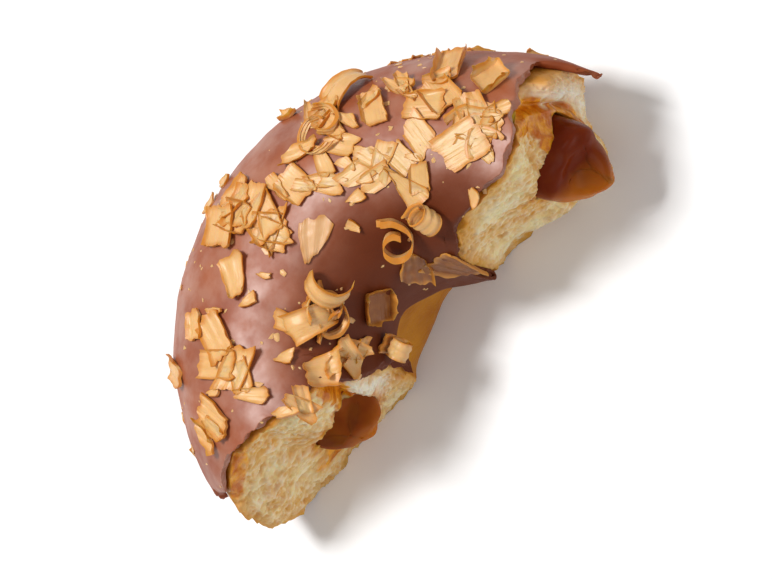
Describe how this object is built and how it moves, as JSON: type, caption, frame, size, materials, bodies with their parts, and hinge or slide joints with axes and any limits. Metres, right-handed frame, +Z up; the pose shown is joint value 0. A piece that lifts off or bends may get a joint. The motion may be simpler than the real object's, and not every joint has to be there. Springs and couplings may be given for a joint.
{
  "type": "bitten ring doughnut",
  "caption": "Piece of a ring doughnut left between bites, with chocolate icing over the top, caramel inside and torn crumb at each end.",
  "frame": {"origin": "centre of the bounding box, on the flat underside", "axes": "+Z up from the flat underside; +X along the piece, from the bite with the notched crumb to the bite where the filling stands out; +Y from the hole to the outer rim"},
  "size_m": [0.0842, 0.0452, 0.0325],
  "materials": {
    "dough": "golden fried crust outside, pale open crumb where torn",
    "icing": "satin milk chocolate, with caramel-coloured shavings set in it",
    "filling": "wet, glossy caramel, amber where it is thin"
  },
  "bodies": {
    "root": {"dough": "dough", "chocolate_icing": "icing", "caramel_filling": "filling"}
  },
  "joints": []
}
